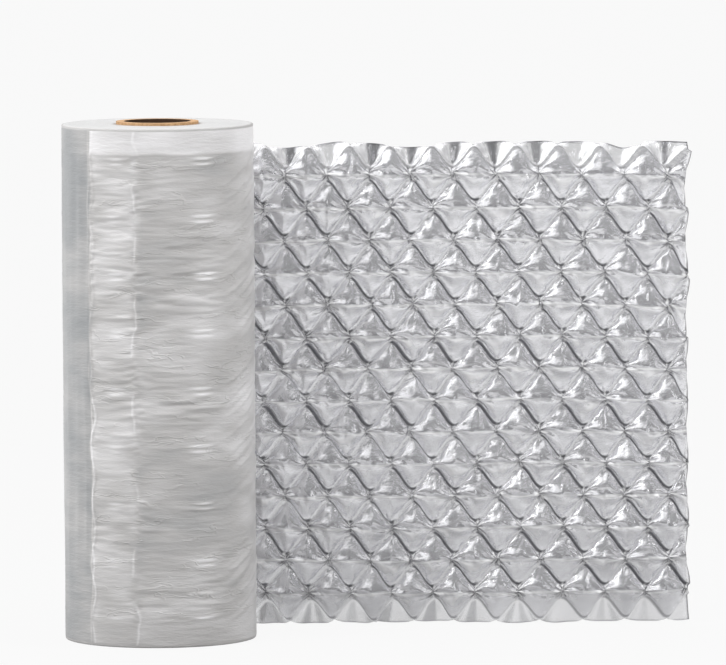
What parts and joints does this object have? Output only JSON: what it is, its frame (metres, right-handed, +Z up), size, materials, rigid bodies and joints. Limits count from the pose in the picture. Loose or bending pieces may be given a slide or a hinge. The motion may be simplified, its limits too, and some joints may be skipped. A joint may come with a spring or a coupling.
{
  "type": "air pillow film roll",
  "caption": "Upright roll of two-ply packing film on a paper core, with its free end drawn off the back and inflated into level chains of air cells.",
  "frame": {"origin": "on the core's axis, at the foot of the core, where the roll stands", "axes": "+Z up along the core's axis, +X the way the free end leaves the roll, +Y towards the side of the roll that it leaves from"},
  "size_m": [0.4971, 0.1569, 0.402],
  "materials": {
    "core_paper": "matte",
    "wound_film": "satin",
    "inflated_film": "gloss"
  },
  "bodies": {
    "root": {"core_tube": "core_paper", "wound_film": "wound_film", "inflated_length": "inflated_film"}
  },
  "joints": []
}
